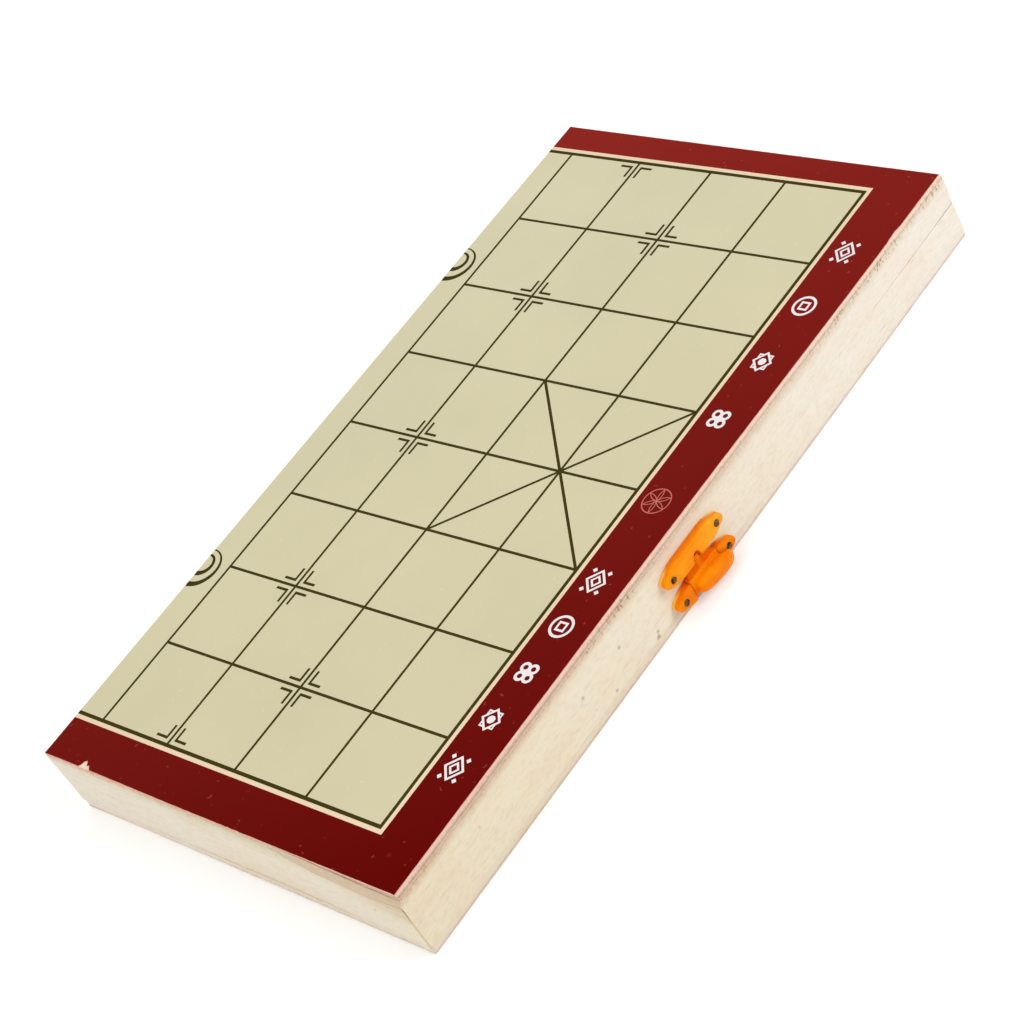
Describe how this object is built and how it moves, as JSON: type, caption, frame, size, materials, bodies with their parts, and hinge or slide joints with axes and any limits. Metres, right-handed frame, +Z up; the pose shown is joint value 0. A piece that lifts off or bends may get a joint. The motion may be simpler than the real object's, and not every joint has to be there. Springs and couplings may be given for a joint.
{
  "type": "folding board game box",
  "caption": "Folding wooden xiangqi box: two shallow hinged trays with half a board printed on each outer face, a plastic snap latch at the front and plain disc chessmen inside.",
  "frame": {"origin": "middle of the wooden frame's footprint, on the surface that the closed box lies on", "axes": "+X along the box, to the right as seen from the latch; +Y from the latch to the hinges; +Z up"},
  "size_m": [0.2694, 0.1547, 0.0252],
  "materials": {
    "rail_wood": "raw planed poplar, pale, with fine grain and small specks",
    "panel_board": "raw thin board with sawn edges",
    "printed_sheet": "printed and lightly varnished: khaki field, dark red border, dark olive lines",
    "latch_plastic": "moulded orange plastic with soft edges",
    "latch_nail": "dark browned steel",
    "hinge_metal": "brass-plated, lightly tarnished",
    "chessman_wood": "turned wood, lightly waxed"
  },
  "bodies": {
    "base": {"base_front_rail": "rail_wood", "base_left_rail": "rail_wood", "base_panel": "panel_board", "base_print": "printed_sheet", "base_rear_rail": "rail_wood", "base_right_rail": "rail_wood", "black_advisor_1": "chessman_wood", "black_advisor_2": "chessman_wood", "black_cannon_1": "chessman_wood", "black_cannon_2": "chessman_wood", "black_chariot_1": "chessman_wood", "black_chariot_2": "chessman_wood", "black_elephant_1": "chessman_wood", "black_elephant_2": "chessman_wood", "black_general": "chessman_wood", "black_horse_1": "chessman_wood", "black_horse_2": "chessman_wood", "black_soldier_1": "chessman_wood", "black_soldier_2": "chessman_wood", "black_soldier_3": "chessman_wood", "black_soldier_4": "chessman_wood", "black_soldier_5": "chessman_wood", "hinge_base_nails": "hinge_metal", "latch_nails": "latch_nail", "latch_plate": "latch_plastic", "left_hinge_base_leaf": "hinge_metal", "left_hinge_pin": "hinge_metal", "red_advisor_1": "chessman_wood", "red_advisor_2": "chessman_wood", "red_cannon_1": "chessman_wood", "red_cannon_2": "chessman_wood", "red_chariot_1": "chessman_wood", "red_chariot_2": "chessman_wood", "red_elephant_1": "chessman_wood", "red_elephant_2": "chessman_wood", "red_general": "chessman_wood", "red_horse_1": "chessman_wood", "red_horse_2": "chessman_wood", "red_soldier_1": "chessman_wood", "red_soldier_2": "chessman_wood", "red_soldier_3": "chessman_wood", "red_soldier_4": "chessman_wood", "red_soldier_5": "chessman_wood", "right_hinge_base_leaf": "hinge_metal", "right_hinge_pin": "hinge_metal"},
    "lid": {"lid_print": "printed_sheet", "lid_panel": "panel_board", "lid_front_rail": "rail_wood", "lid_rear_rail": "rail_wood", "lid_left_rail": "rail_wood", "lid_right_rail": "rail_wood", "left_hinge_lid_leaf": "hinge_metal", "right_hinge_lid_leaf": "hinge_metal", "hinge_lid_nails": "hinge_metal", "catch_plate": "latch_plastic", "catch_nails": "latch_nail"},
    "tab": {"latch_tab": "latch_plastic"}
  },
  "joints": [
    {"name": "lid_hinge", "type": "hinge", "parent": "base", "child": "lid", "pos_m": [0, 0.07387, 0.0126], "axis": [-1, 0, 0], "range_deg": [0, 180]},
    {"name": "tab_pivot", "type": "hinge", "parent": "base", "child": "tab", "pos_m": [-0.006, -0.07548, 0.0042], "axis": [1, 0, 0], "range_deg": [0, 75]}
  ]
}
